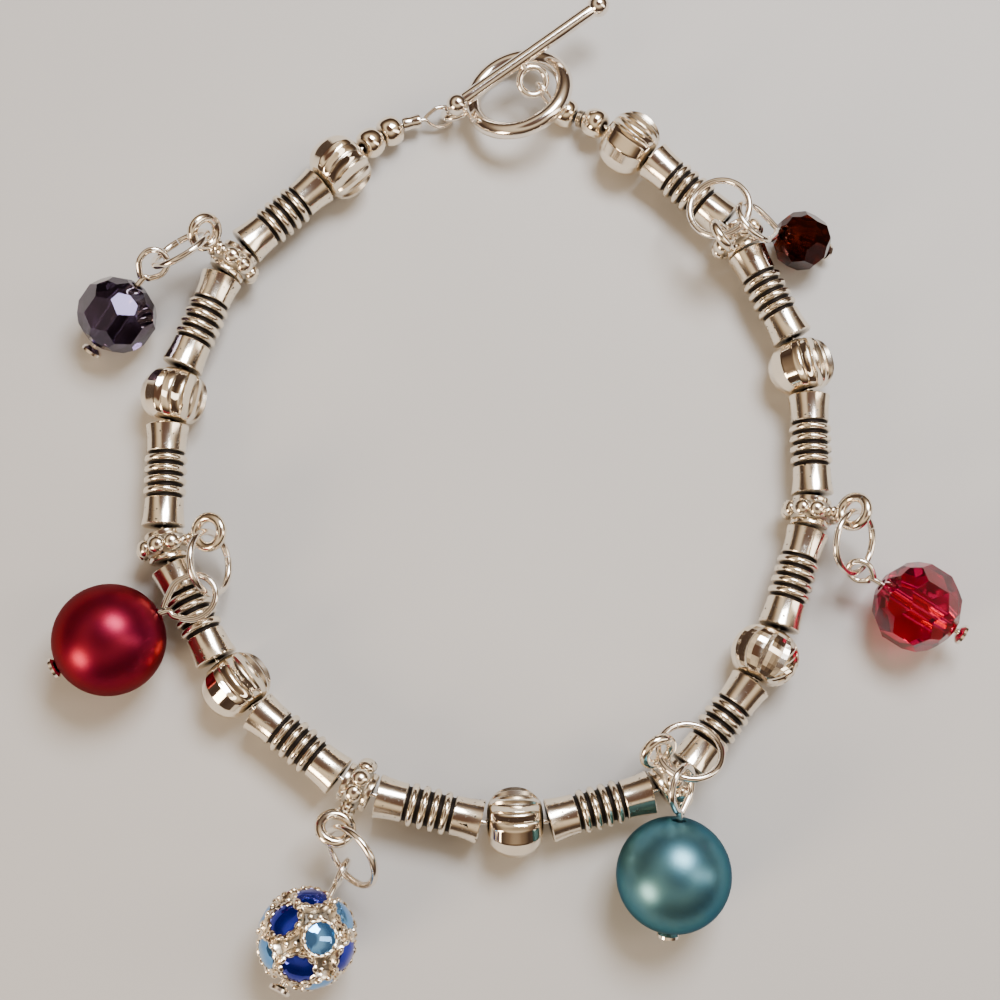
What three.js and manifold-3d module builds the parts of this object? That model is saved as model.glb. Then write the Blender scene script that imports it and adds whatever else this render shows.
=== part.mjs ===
// A beaded charm bracelet, closed on its toggle clasp and lying in a loop on a table.
// Millimetres, +Z up. The strand runs clockwise from the clasp: small beads, then ribbed tube beads
// with cut beads and charm bails between them, and small beads again. Each bail carries a jump ring,
// and each jump ring a bead on a head pin.

import * as THREE from 'three';
import { mergeVertices } from 'three/addons/utils/BufferGeometryUtils.js';
import { ConvexGeometry } from 'three/addons/geometries/ConvexGeometry.js';
import Module from 'manifold-3d';

const wasm = await Module();
wasm.setup();

// Sides of the turned pieces, and of wires
const sides = { bead: 10, round: 14, wire: 6, thread: 5 };

// Clearances
const linkGap = 0.3; // between two wires that hook into each other
const holeGap = 0.3; // round a wire in a bead's hole
const beadGap = 0.15; // between neighbours on the strand, where their end faces come closest
const mouthGap = 0.35; // from the throat of a thread loop to the first bead's hole

// Strand
const threadWire = 0.45;
const threadHole = threadWire / 2 + holeGap;
const threadLoop = { length: 3.3, width: 2.3 };

const tubeBead = { length: 9.8, endRadius: 2.05, waistRadius: 1.8, ribRadius: 2.02, grooveRadius: 1.6 };
const tubeRib = { count: 4, width: 0.62, groove: 0.4 };
const tubeFlare = 0.3; // share of the flare that is reached halfway along a smooth end
const cutBead = { length: 5.15, radius: 3.2, endRadius: 1.2, facets: 12 };
const smallBead = { length: 2.3, radius: 1.5, endRadius: 0.75 };
const crimpTube = { length: 1.8, radius: 0.72, endRadius: 0.72 };
const crimpCollar = { length: 0.6, radius: 0.9, endRadius: 0.9 };
const bail = { length: 2.8, endRadius: 1.85, bandRadius: 2.15 };
const granule = { count: 8, radius: 0.62, stretch: 1.1, raised: 0.19 };
const bailLoop = { outer: 3.8, wire: 1, steps: 12, facets: 5, neck: 0.5, neckFoot: 0.62, neckTop: 0.45 };

// Clasp
const toggleRing = {
  outer: 11.4, wire: 1.7, steps: 20, facets: 8, lean: 25, leanHeading: 138, rise: 0.3,
};
const ringLoop = { outer: 3.2, wire: 0.8, steps: 12, facets: 6, around: 140, turn: 20, sunk: 0.16 };
const toggleBar = { length: 19.8, rod: 1.35, ball: 2.2, heading: -13.5, aside: 0.7, along: 3.1 };
const ballSlopes = [-60, -15, 15]; // degrees round each ball of the bar, towards its rod
const barLoop = {
  outer: 3.5, wire: 0.75, steps: 12, facets: 6, along: -1, hang: 48,
  neck: 0.35, neckFoot: 0.45, neckTop: 0.38,
};
const claspCentre = { x: 1.75, y: 41.6 };
const threadHeadings = { bar: -42, ring: 197 }; // from the clasp's loops towards the strand
const threadRolls = { bar: 0, ring: 0 }; // from square to the clasp's wires

// Charms
const jumpRing = { outer: 6.5, wire: 0.66, steps: 14, facets: 6 };
const headPin = { wire: 0.62, eyeWidth: 2.9, eyeLength: 3.6, head: 2, headThickness: 0.45, sunk: 0.02 };

// The strand from the clasp's bar round to the clasp's ring. Heading is the way that a bead points on
// the table and climb its slope, both in degrees. These are the few chosen values of the route.
const strandRoute = [
  { kind: 'small_bead', heading: -22, climb: 4 },
  { kind: 'crimp_collar', heading: -24, climb: 14 },
  { kind: 'small_bead', heading: -29, climb: 24 },
  { kind: 'cut_bead', heading: -36, climb: 0 },
  { kind: 'tube_bead', heading: -41.4, climb: 0 },
  { kind: 'bail', heading: -59, climb: 0 },
  { kind: 'tube_bead', heading: -64.2, climb: 0 },
  { kind: 'cut_bead', heading: -78, climb: 0 },
  { kind: 'tube_bead', heading: -91.9, climb: 0 },
  { kind: 'bail', heading: -101.6, climb: 0 },
  { kind: 'tube_bead', heading: -111.3, climb: 0 },
  { kind: 'cut_bead', heading: -121, climb: 0 },
  { kind: 'tube_bead', heading: -131.1, climb: 0 },
  { kind: 'bail', heading: -149.4, climb: 0 },
  { kind: 'tube_bead', heading: -167.7, climb: 0 },
  { kind: 'cut_bead', heading: -181.9, climb: 0 },
  { kind: 'tube_bead', heading: -196, climb: 0 },
  { kind: 'bail', heading: -207.7, climb: 0 },
  { kind: 'tube_bead', heading: -219.5, climb: 0 },
  { kind: 'cut_bead', heading: -231, climb: 0 },
  { kind: 'tube_bead', heading: -242.3, climb: 0 },
  { kind: 'bail', heading: -255.4, climb: 0 },
  { kind: 'tube_bead', heading: -268.5, climb: 0 },
  { kind: 'cut_bead', heading: -278.6, climb: 0 },
  { kind: 'tube_bead', heading: -288.8, climb: 0 },
  { kind: 'bail', heading: -301.3, climb: 0 },
  { kind: 'tube_bead', heading: -313.9, climb: 0 },
  { kind: 'cut_bead', heading: -313, climb: 0 },
  { kind: 'small_bead', heading: -313, climb: -20 },
  { kind: 'small_bead', heading: -320, climb: -10 },
  { kind: 'crimp_tube', heading: -342, climb: 0 },
];

// One row for each charm, clockwise. Side is +1 for a bail that points out of the loop of beads, and
// lift its angle above the table. Ring is the way from the bail's loop to the jump ring's centre, and
// pin the heading from the jump ring to the bead. Around is where the pin hooks the ring, 0 opposite
// the bail, and roll turns a link about its way from square to the wire that it hooks. Raised is how far the
// pin holds a bead off the table.
const charms = [
  {
    name: 'dark_red_crystal', colour: 0x3a0610, form: 'crystal', radius: 3.05, side: -1, lift: 58,
    ring: { heading: 95, climb: -3, roll: 19 }, around: 121,
    pin: { heading: -4, roll: 131 }, eye: 1.6, raised: 0.45,
  },
  {
    name: 'red_crystal', colour: 0xb5121c, form: 'crystal', radius: 4.45, side: 1, lift: 47,
    ring: { heading: -86, climb: -21, roll: 0 }, around: 12,
    pin: { heading: -32, roll: 19 }, eye: 0.75, raised: 0.12,
  },
  {
    name: 'teal_pearl', colour: 0x2f6f80, form: 'pearl', radius: 5.2, side: -1, lift: 52,
    ring: { heading: 0, climb: -1, roll: 13 }, around: 108,
    pin: { heading: -94, roll: -26 }, eye: 1.3, raised: 0,
  },
  {
    name: 'rhinestone_ball', colour: 0x9a938c, form: 'ball', radius: 4.5, side: 1, lift: 33,
    ring: { heading: -59, climb: -8, roll: -3 }, around: 70,
    pin: { heading: -117, roll: 0 }, eye: 0.8, raised: 0,
  },
  {
    name: 'red_pearl', colour: 0x8c1024, form: 'pearl', radius: 5.15, side: -1, lift: 26,
    ring: { heading: -86, climb: 0, roll: 3 }, around: 18,
    pin: { heading: 207, roll: 28 }, eye: 1.5, raised: 0,
  },
  {
    name: 'purple_crystal', colour: 0x241f33, form: 'crystal', radius: 3.95, side: 1, lift: 56,
    ring: { heading: 222, climb: 9, roll: 17 }, around: 42,
    pin: { heading: 230, roll: 13 }, eye: 0.95, raised: 0.42,
  },
];

// Half outlines of turned beads. Along is a share of half the length, and out of the swell from the
// end's radius to the full one.
const cutOutline = [{ along: 0.27, out: 1 }, { along: 0.74, out: 0.66 }, { along: 1, out: 0 }];
const smallOutline = [{ along: 0, out: 1 }, { along: 0.55, out: 0.72 }, { along: 1, out: 0 }];
const bailOutline = [{ along: 0.3, out: 1 }, { along: 0.5, out: 0 }, { along: 1, out: 0 }];
// Rows of corners on a cut crystal, as shares of its radius. Turn is in shares of one facet.
const crystalFacets = 8;
const crystalRows = [
  { along: -0.88, out: 0.42, turn: 0 },
  { along: -0.42, out: 0.94, turn: 0.5 },
  { along: 0.42, out: 0.94, turn: 0.5 },
  { along: 0.88, out: 0.42, turn: 0 },
];
// A pearl's or a round bead's outline, in degrees from its equator
const roundLatitudes = [-63, -42, -21, 0, 21, 42, 63];
// Stones round the ball, in rows. Latitude is in degrees from the pin's equator.
const stoneRows = [
  { latitude: -46, count: 5, turn: 0.44 },
  { latitude: 0, count: 7, turn: 0.08 },
  { latitude: 46, count: 5, turn: 0.9 },
];
const ballStone = { table: 0.8, setting: 1.55, depth: 0.75, sunk: 0.12, sides: 6 };
// The outline of a bent wire loop, from its throat round to its throat, as shares of length and width
const loopOutline = [
  { along: 0, across: 0 },
  { along: 0.16, across: 0.2 },
  { along: 0.45, across: 0.46 },
  { along: 0.78, across: 0.42 },
  { along: 0.97, across: 0.16 },
  { along: 0.97, across: -0.16 },
  { along: 0.78, across: -0.42 },
  { along: 0.45, across: -0.46 },
  { along: 0.22, across: -0.28 },
];

const loopTip = Math.max(...loopOutline.map((row) => row.along));

const silver = { color: 0xcfc4b4, roughness: 0.28, metalness: 1 };
const up = new THREE.Vector3(0, 0, 1);
const radians = THREE.MathUtils.degToRad;

// Solids

function solidOf(geometry) {
  const bare = geometry.clone();
  bare.deleteAttribute('normal');
  bare.deleteAttribute('uv');
  const merged = mergeVertices(bare, 1e-4);
  return new wasm.Manifold(new wasm.Mesh({
    numProp: 3,
    vertProperties: Float32Array.from(merged.attributes.position.array),
    triVerts: Uint32Array.from(merged.index.array),
  }));
}

function geometryOf(solid) {
  const mesh = solid.getMesh();
  const geometry = new THREE.BufferGeometry();
  geometry.setAttribute('position', new THREE.BufferAttribute(mesh.vertProperties, 3));
  geometry.setIndex(new THREE.BufferAttribute(mesh.triVerts, 1));
  geometry.computeVertexNormals();
  return geometry;
}

function fuse(geometries) {
  return geometryOf(geometries.map(solidOf).reduce((whole, piece) => whole.add(piece)));
}

// A wire bent through its points, each straight run one step long
class BentWire extends THREE.Curve {
  constructor(points) {
    super();
    this.points = points;
  }

  getUtoTmapping(u) {
    return u;
  }

  getPoint(t, target = new THREE.Vector3()) {
    const last = this.points.length - 1;
    const at = Math.min(Math.floor(t * last + 1e-9), last - 1);
    return target.copy(this.points[at]).lerp(this.points[at + 1], t * last - at);
  }

  getTangent(t, target = new THREE.Vector3()) {
    const last = this.points.length - 1;
    const at = Math.round(t * last);
    const here = this.points[at];
    const before = here.clone().sub(this.points[Math.max(at - 1, 0)]).normalize();
    const after = this.points[Math.min(at + 1, last)].clone().sub(here).normalize();
    return target.copy(before).add(after).normalize();
  }
}

function wireGeometry(points, wire, facets) {
  const section = new THREE.Shape();
  section.setFromPoints(Array.from({ length: facets }, (_, i) => {
    const angle = (i / facets) * 2 * Math.PI;
    return new THREE.Vector2(Math.cos(angle) * wire / 2, Math.sin(angle) * wire / 2);
  }));
  return new THREE.ExtrudeGeometry(section, {
    steps: points.length - 1,
    curveSegments: 1,
    extrudePath: new BentWire(points),
  });
}

// A turned solid about the X axis, from a closed outline of radius and place along the axis
function turned(outline, facets) {
  const points = outline.map(([radius, along]) => new THREE.Vector2(radius, along));
  points.push(points[0].clone());
  const geometry = new THREE.LatheGeometry(points, facets, Math.PI / facets);
  return geometry.rotateZ(-Math.PI / 2);
}

// A bead's outline: its hole, then its outer points from end to end
function drilled(hole, outer) {
  const first = outer[0][1];
  const last = outer[outer.length - 1][1];
  return [[hole, first], ...outer, [hole, last]];
}

function flatRing({ outer, wire, steps, facets }) {
  return new THREE.TorusGeometry((outer - wire) / 2, wire / 2, facets, steps);
}

// Strand pieces, each along X about its middle

function tubeBeadGeometry() {
  const half = tubeBead.length / 2;
  const pitch = tubeRib.width + tubeRib.groove;
  const ribbed = tubeRib.count * tubeRib.width + (tubeRib.count + 1) * tubeRib.groove;
  const flare = (half + ribbed / 2) / 2;
  const flareRadius = tubeBead.waistRadius + (tubeBead.endRadius - tubeBead.waistRadius) * tubeFlare;
  const outer = [[tubeBead.endRadius, -half], [flareRadius, -flare], [tubeBead.waistRadius, -ribbed / 2]];
  for (let groove = 0; groove <= tubeRib.count; groove += 1) {
    const start = -ribbed / 2 + groove * pitch;
    outer.push([tubeBead.grooveRadius, start + tubeRib.groove / 2]);
    if (groove < tubeRib.count) {
      outer.push([tubeBead.ribRadius, start + tubeRib.groove]);
      outer.push([tubeBead.ribRadius, start + pitch]);
    }
  }
  outer.push([tubeBead.waistRadius, ribbed / 2], [flareRadius, flare], [tubeBead.endRadius, half]);
  return turned(drilled(threadHole, outer), sides.bead);
}

// Both halves of a bead's outline, which mirror each other, for its length, radius and end radius
function swelling(rows, length, radius, endRadius) {
  const half = rows.map((row) => [endRadius + (radius - endRadius) * row.out, row.along * length / 2]);
  const other = half.filter((point) => point[1] > 0).map(([out, along]) => [out, -along]);
  return [...other.reverse(), ...half];
}

function cutBeadGeometry() {
  const outer = swelling(cutOutline, cutBead.length, cutBead.radius, cutBead.endRadius);
  return turned(drilled(threadHole, outer), cutBead.facets);
}

function smallBeadGeometry() {
  const outer = swelling(smallOutline, smallBead.length, smallBead.radius, smallBead.endRadius);
  return turned(drilled(threadHole, outer), sides.bead);
}

function crimpTubeGeometry() {
  const half = crimpTube.length / 2;
  return turned(drilled(threadHole, [[crimpTube.radius, -half], [crimpTube.radius, half]]), sides.bead);
}

function crimpCollarGeometry() {
  const half = crimpCollar.length / 2;
  const groove = (crimpCollar.radius + threadHole) / 2;
  const outer = [
    [crimpCollar.radius, -half],
    [groove, -half / 2],
    [crimpCollar.radius, 0],
    [groove, half / 2],
    [crimpCollar.radius, half],
  ];
  return turned(drilled(threadHole, outer), sides.bead);
}

// The bail's loop stands up along +Z, with its hole across the strand
const granuleOrbit = bail.bandRadius + granule.raised;
const bailReach = granuleOrbit + granule.radius + bailLoop.neck + (bailLoop.outer - bailLoop.wire) / 2;

function bailGeometry() {
  const outer = swelling(bailOutline, bail.length, bail.bandRadius, bail.endRadius);
  const pieces = [turned(drilled(threadHole, outer), 10)];
  for (let i = 0; i < granule.count; i += 1) {
    const angle = ((i + 1) / (granule.count + 1)) * 2 * Math.PI;
    const lump = new THREE.OctahedronGeometry(granule.radius, 0);
    lump.scale(granule.stretch, 1, 1);
    lump.translate(0, 0, granuleOrbit);
    pieces.push(lump.rotateX(angle));
  }
  const neckStart = (bail.bandRadius + bail.endRadius) / 2;
  const neckEnd = bailReach - (bailLoop.outer - bailLoop.wire) / 2;
  const { neckTop, neckFoot } = bailLoop;
  const neck = new THREE.CylinderGeometry(neckTop, neckFoot, neckEnd - neckStart, sides.wire);
  neck.rotateX(Math.PI / 2);
  pieces.push(neck.translate(0, 0, (neckStart + neckEnd) / 2));
  const loop = flatRing(bailLoop);
  pieces.push(loop.rotateX(Math.PI / 2).translate(0, 0, bailReach));
  return fuse(pieces);
}

const strandKinds = {
  tube_bead: { size: tubeBead, geometry: tubeBeadGeometry() },
  cut_bead: { size: cutBead, geometry: cutBeadGeometry() },
  small_bead: { size: smallBead, geometry: smallBeadGeometry() },
  bail: { size: bail, geometry: bailGeometry() },
  crimp_tube: { size: crimpTube, geometry: crimpTubeGeometry() },
  crimp_collar: { size: crimpCollar, geometry: crimpCollarGeometry() },
};

const group = new THREE.Group();

function addPiece(name, geometry, look, matrix = new THREE.Matrix4()) {
  const mesh = new THREE.Mesh(geometry, new THREE.MeshStandardMaterial(look));
  mesh.name = name;
  mesh.applyMatrix4(matrix);
  group.add(mesh);
  return mesh;
}

// A way in space from a heading on the table and a climb, in degrees
function way(heading, climb) {
  const level = Math.cos(radians(climb));
  return new THREE.Vector3(
    Math.cos(radians(heading)) * level,
    Math.sin(radians(heading)) * level,
    Math.sin(radians(climb)),
  );
}

// A frame whose X runs along a way and whose Y is as near as it can be to another, rolled about X
function frameAcross(origin, along, near, roll) {
  const across = near.clone().addScaledVector(along, -near.dot(along)).normalize();
  const upright = new THREE.Vector3().crossVectors(along, across);
  const frame = new THREE.Matrix4().makeBasis(along, across, upright);
  frame.multiply(new THREE.Matrix4().makeRotationX(radians(roll)));
  return frame.setPosition(origin);
}

// The same with Z as upright as it can be
function frameAlong(origin, along, roll) {
  return frameAcross(origin, along, new THREE.Vector3().crossVectors(up, along), roll);
}

function placed(frame, x, y, z) {
  return new THREE.Vector3(x, y, z).applyMatrix4(frame);
}

// A bent wire loop in a frame's XY plane, from its throat at the origin along +X
function loopPoints(frame, length, width) {
  return loopOutline.map((row) => placed(frame, row.along * length, row.across * width, 0));
}

// Clasp: the ring leans on the table and the bar lies across it

const ringRadius = (toggleRing.outer - toggleRing.wire) / 2;
const ringRest = toggleRing.rise + toggleRing.wire / 2 + ringRadius * Math.sin(radians(toggleRing.lean));
const ringOrigin = new THREE.Vector3(claspCentre.x, claspCentre.y, ringRest);
const ringNormal = way(toggleRing.leanHeading, 90 - toggleRing.lean);
const ringLevel = new THREE.Vector3().crossVectors(ringNormal, up).normalize();
const ringDown = new THREE.Vector3().crossVectors(ringNormal, ringLevel);
const claspFrame = new THREE.Matrix4().makeBasis(ringLevel, ringDown, ringNormal).setPosition(ringOrigin);

const ringLoopReach = toggleRing.outer / 2 + (ringLoop.outer - ringLoop.wire) / 2 - ringLoop.sunk;
const ringLoopPlace = new THREE.Matrix4().makeRotationZ(radians(ringLoop.around))
  .multiply(new THREE.Matrix4().makeTranslation(ringLoopReach, 0, 0))
  .multiply(new THREE.Matrix4().makeRotationX(radians(ringLoop.turn)));

function toggleRingGeometry() {
  const loop = flatRing(ringLoop).applyMatrix4(ringLoopPlace);
  return fuse([flatRing(toggleRing), loop]);
}

const barHeight = (toggleRing.wire + toggleBar.ball) / 2 + linkGap;
const barFrame = claspFrame.clone()
  .multiply(new THREE.Matrix4().makeTranslation(toggleBar.along, toggleBar.aside, barHeight))
  .multiply(new THREE.Matrix4().makeRotationZ(radians(toggleBar.heading)));
const barLoopReach = toggleBar.rod / 2 + barLoop.neck + (barLoop.outer - barLoop.wire) / 2;
const barLoopTurn = new THREE.Matrix4().makeRotationX(radians(180 + barLoop.hang));
const barLoopPlace = barLoopTurn.clone()
  .multiply(new THREE.Matrix4().makeTranslation(barLoop.along, barLoopReach, 0));

function toggleBarGeometry() {
  const half = toggleBar.length / 2;
  const ballRadius = toggleBar.ball / 2;
  const rodSlope = Math.acos(toggleBar.rod / toggleBar.ball);
  const ballEnd = [...ballSlopes.map(radians), rodSlope].map((slope) => [
    Math.cos(slope) * ballRadius,
    Math.sin(slope) * ballRadius - (half - ballRadius),
  ]);
  const otherEnd = ballEnd.map(([radius, along]) => [radius, -along]).reverse();
  const rod = turned([[0, -half], ...ballEnd, ...otherEnd, [0, half]], sides.bead);
  const neckLength = barLoopReach - barLoop.wire;
  const neck = new THREE.CylinderGeometry(barLoop.neckTop, barLoop.neckFoot, neckLength, sides.wire);
  neck.translate(barLoop.along, neckLength / 2, 0).applyMatrix4(barLoopTurn);
  const loop = flatRing(barLoop).applyMatrix4(barLoopPlace);
  return fuse([rod, neck, loop]);
}

addPiece('toggle_ring', toggleRingGeometry(), silver, claspFrame);
addPiece('toggle_bar', toggleBarGeometry(), silver, barFrame);

// Strand: both thread loops hook the clasp, and the route turns a little until its end meets the ring

// The middle of a round loop's wire where another link hooks it, at an angle round the loop
function gripOf(frame, loop, around) {
  const radius = (loop.outer - loop.wire) / 2;
  return placed(frame, Math.cos(radians(around)) * radius, Math.sin(radians(around)) * radius, 0);
}

// The way of that wire there
function gripWay(frame, loop, around) {
  return gripOf(frame, loop, around + 90).sub(placed(frame, 0, 0, 0)).normalize();
}

// The angle round a loop that looks along a heading on the table
function aroundAt(frame, heading) {
  const side = way(heading, 0).transformDirection(frame.clone().invert());
  return THREE.MathUtils.radToDeg(Math.atan2(side.y, side.x));
}

// The frame of a link along a way, square to a wire and then rolled about its way
function frameSquare(origin, along, wireWay, roll) {
  return frameAcross(origin, along, new THREE.Vector3().crossVectors(wireWay, along), roll);
}

// The way of a link that hooks a wire at a point and ends at a height, so far from the point
function hangWay(point, heading, reach, height) {
  return way(heading, THREE.MathUtils.radToDeg(Math.asin((height - point.z) / reach)));
}

function turnGap(before, after, bend) {
  return beadGap + (before.endRadius + after.endRadius) * Math.tan(radians(Math.abs(bend)) / 2);
}

// The strand's joints, from the first bead's outer end to the last one's. Each row also holds the gap
// that its bend leaves open.
function layStrand(start, sway) {
  const rows = [];
  const first = strandRoute[0];
  const at = start.clone().addScaledVector(way(first.heading, first.climb), mouthGap);
  strandRoute.forEach((row, i) => {
    const size = strandKinds[row.kind].size;
    const heading = row.heading + sway.x * Math.cos(radians(row.heading))
      + sway.y * Math.sin(radians(row.heading));
    if (i > 0) {
      const before = rows[i - 1];
      const bend = THREE.MathUtils.radToDeg(before.along.angleTo(way(heading, row.climb)));
      at.addScaledVector(before.along, turnGap(before.size, size, bend) / 2);
      before.end = at.clone();
      at.addScaledVector(way(heading, row.climb), turnGap(before.size, size, bend) / 2);
    }
    const along = way(heading, row.climb);
    const centre = at.clone().addScaledVector(along, size.length / 2);
    rows.push({ ...row, size, along, centre, start: at.clone() });
    at.addScaledVector(along, size.length);
  });
  const last = rows[rows.length - 1];
  last.end = at.addScaledVector(last.along, mouthGap);
  return rows;
}

// The strand's own heights, from its first bead's outer end to its last one's, with its cut beads on
// the table
const stringHeight = cutBead.radius * Math.cos(Math.PI / cutBead.facets);
const levels = layStrand(new THREE.Vector3(), new THREE.Vector2());
const startHeight = stringHeight - levels.find((row) => row.kind === 'cut_bead').centre.z;
const endHeight = startHeight + levels[levels.length - 1].end.z;

// Each thread loop holds a loop of the clasp in its tip
const threadHold = linkGap + threadWire / 2;
const barLoopFrame = barFrame.clone().multiply(barLoopPlace);
const barAround = aroundAt(barLoopFrame, threadHeadings.bar);
const barGrip = gripOf(barLoopFrame, barLoop, barAround);
const barReach = threadLoop.length * loopTip - threadHold - barLoop.wire / 2;
const barWay = hangWay(barGrip, threadHeadings.bar, barReach, startHeight);
const strandStart = barGrip.clone().addScaledVector(barWay, barReach);
const ringLoopFrame = claspFrame.clone().multiply(ringLoopPlace);
const ringAround = aroundAt(ringLoopFrame, threadHeadings.ring);
const ringGrip = gripOf(ringLoopFrame, ringLoop, ringAround);
const ringReach = threadLoop.length * loopTip - threadHold - ringLoop.wire / 2;
const ringWay = hangWay(ringGrip, threadHeadings.ring, ringReach, endHeight);
const strandEnd = ringGrip.clone().addScaledVector(ringWay, ringReach);

function missBy(sway) {
  const rows = layStrand(strandStart, sway);
  return rows[rows.length - 1].end.sub(strandEnd);
}

// Newton's steps on two small turns of the route until its end lies on the clasp
const sway = new THREE.Vector2(0, 0);
const nudge = 0.01;
for (let step = 0; step < 8; step += 1) {
  const miss = missBy(sway);
  const byX = missBy(new THREE.Vector2(sway.x + nudge, sway.y)).sub(miss).divideScalar(nudge);
  const byY = missBy(new THREE.Vector2(sway.x, sway.y + nudge)).sub(miss).divideScalar(nudge);
  const area = byX.x * byY.y - byY.x * byX.y;
  sway.x -= (miss.x * byY.y - miss.y * byY.x) / area;
  sway.y -= (byX.x * miss.y - byX.y * miss.x) / area;
}

const strand = layStrand(strandStart, sway);

// Thread: a loop round the bar's loop, straight through every bead, and a loop round the ring's loop
const barWire = gripWay(barLoopFrame, barLoop, barAround);
const ringWire = gripWay(ringLoopFrame, ringLoop, ringAround);
const barSide = frameSquare(strandStart, barWay.negate(), barWire, threadRolls.bar);
const ringSide = frameSquare(strandEnd, ringWay.negate(), ringWire, threadRolls.ring);
const threadPoints = [
  ...loopPoints(barSide, threadLoop.length, threadLoop.width).reverse(),
  ...strand.slice(0, -1).map((row) => row.end),
  ...loopPoints(ringSide, threadLoop.length, threadLoop.width),
];
addPiece('stringing_wire', wireGeometry(threadPoints, threadWire, sides.thread), silver);

const kindCount = {};
const bails = [];
for (const row of strand) {
  kindCount[row.kind] = (kindCount[row.kind] ?? 0) + 1;
  const charm = row.kind === 'bail' ? charms[bails.length] : null;
  const roll = charm ? charm.side * (charm.lift - 90) : 0;
  const frame = frameAlong(row.centre, row.along, roll);
  if (charm) bails.push(frame);
  const name = row.kind.startsWith('crimp') ? row.kind : `${row.kind}_${kindCount[row.kind]}`;
  addPiece(name, strandKinds[row.kind].geometry, silver, frame);
}

// Charms

const jumpRadius = (jumpRing.outer - jumpRing.wire) / 2;
const pinHole = headPin.wire / 2 + holeGap;

function roundOutline(radius, hole) {
  const edge = Math.sqrt(radius ** 2 - hole ** 2);
  const outer = roundLatitudes.map((degrees) => [
    radius * Math.cos(radians(degrees)),
    radius * Math.sin(radians(degrees)),
  ]);
  return [[hole, -edge], ...outer, [hole, edge]];
}

function pearlGeometry(radius) {
  return turned(roundOutline(radius, pinHole), sides.round);
}

function crystalGeometry(radius) {
  const corners = [];
  for (const row of crystalRows) {
    for (let i = 0; i < crystalFacets; i += 1) {
      const angle = ((i + row.turn) / crystalFacets) * 2 * Math.PI;
      corners.push(new THREE.Vector3(
        row.along * radius,
        Math.cos(angle) * row.out * radius,
        Math.sin(angle) * row.out * radius,
      ));
    }
  }
  const hole = new THREE.CylinderGeometry(pinHole, pinHole, radius * 2, crystalFacets).rotateZ(Math.PI / 2);
  return geometryOf(solidOf(new ConvexGeometry(corners)).subtract(solidOf(hole)));
}

function ballGeometry(radius) {
  const pieces = [turned(roundOutline(radius - ballStone.depth, pinHole), sides.round)];
  for (const row of stoneRows) {
    for (let i = 0; i < row.count; i += 1) {
      const { table, setting, depth, sunk, sides } = ballStone;
      const stone = new THREE.CylinderGeometry(table, setting, depth * 2, sides);
      stone.translate(0, radius - sunk - depth, 0);
      stone.rotateZ(-radians(row.latitude));
      pieces.push(stone.rotateX(((i + row.turn) / row.count) * 2 * Math.PI));
    }
  }
  return fuse(pieces);
}

// Each form's geometry, and how far its underside lies from its middle, as a share of its radius
const crystalRest = crystalRows[1].out * Math.cos(Math.PI / crystalFacets);
const charmForms = {
  crystal: { geometry: crystalGeometry, rest: crystalRest },
  pearl: { geometry: pearlGeometry, rest: 1 },
  ball: { geometry: ballGeometry, rest: 1 },
};

charms.forEach((charm, i) => {
  const form = charmForms[charm.form];
  const loopCentre = placed(bails[i], 0, 0, bailReach);

  // Jump ring, whose wire runs through the bail's loop as near to its hole's axis as the way allows
  const holeAxis = placed(bails[i], 0, 1, 0).sub(placed(bails[i], 0, 0, 0));
  const linkWay = way(charm.ring.heading, charm.ring.climb);
  const ringCentre = loopCentre.clone().addScaledVector(linkWay, jumpRadius);
  const ringFrame = frameAcross(ringCentre, linkWay, holeAxis, charm.ring.roll);
  addPiece(`jump_ring_${i + 1}`, flatRing(jumpRing), silver, ringFrame);

  // Head pin, hooked round the jump ring, and its bead at rest on the table
  const grip = gripOf(ringFrame, jumpRing, charm.around);
  const eyeLength = headPin.eyeLength * charm.eye;
  const reach = charm.radius + eyeLength * loopTip - (jumpRing.wire + headPin.wire) / 2;
  const beadHeight = charm.radius * form.rest + charm.raised;
  const pinWay = hangWay(grip, charm.pin.heading, reach, beadHeight);
  const beadCentre = grip.clone().addScaledVector(pinWay, reach);
  const wireWay = gripWay(ringFrame, jumpRing, charm.around);
  const pinFrame = frameSquare(beadCentre, pinWay.clone().negate(), wireWay, charm.pin.roll);
  const throat = charm.radius + linkGap;
  const eyeFrame = pinFrame.clone().multiply(new THREE.Matrix4().makeTranslation(throat, 0, 0));
  const pinPoints = [
    placed(pinFrame, -throat, 0, 0),
    ...loopPoints(eyeFrame, eyeLength, headPin.eyeWidth * charm.eye),
  ];
  const { head, headThickness, sunk } = headPin;
  const disc = new THREE.CylinderGeometry(head / 2, head / 2, headThickness, sides.bead);
  disc.rotateZ(Math.PI / 2).translate(sunk - throat - headThickness / 2, 0, 0);
  const pin = fuse([wireGeometry(pinPoints, headPin.wire, sides.wire), disc.applyMatrix4(pinFrame)]);
  addPiece(`head_pin_${i + 1}`, pin, silver);

  const look = { color: charm.colour, roughness: 0.25, metalness: 0.1 };
  const beadFrame = frameAlong(beadCentre, pinWay.clone().negate(), 0);
  addPiece(charm.name, form.geometry(charm.radius), look, beadFrame);
});

// The origin is the middle of the model's box, on the table
const box = new THREE.Box3().setFromObject(group, true);
const middle = box.getCenter(new THREE.Vector3());
group.position.set(-middle.x, -middle.y, -box.min.z);

export default group;
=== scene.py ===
import math

import bmesh
import bpy
import numpy as np
from mathutils import Matrix, Vector


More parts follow.
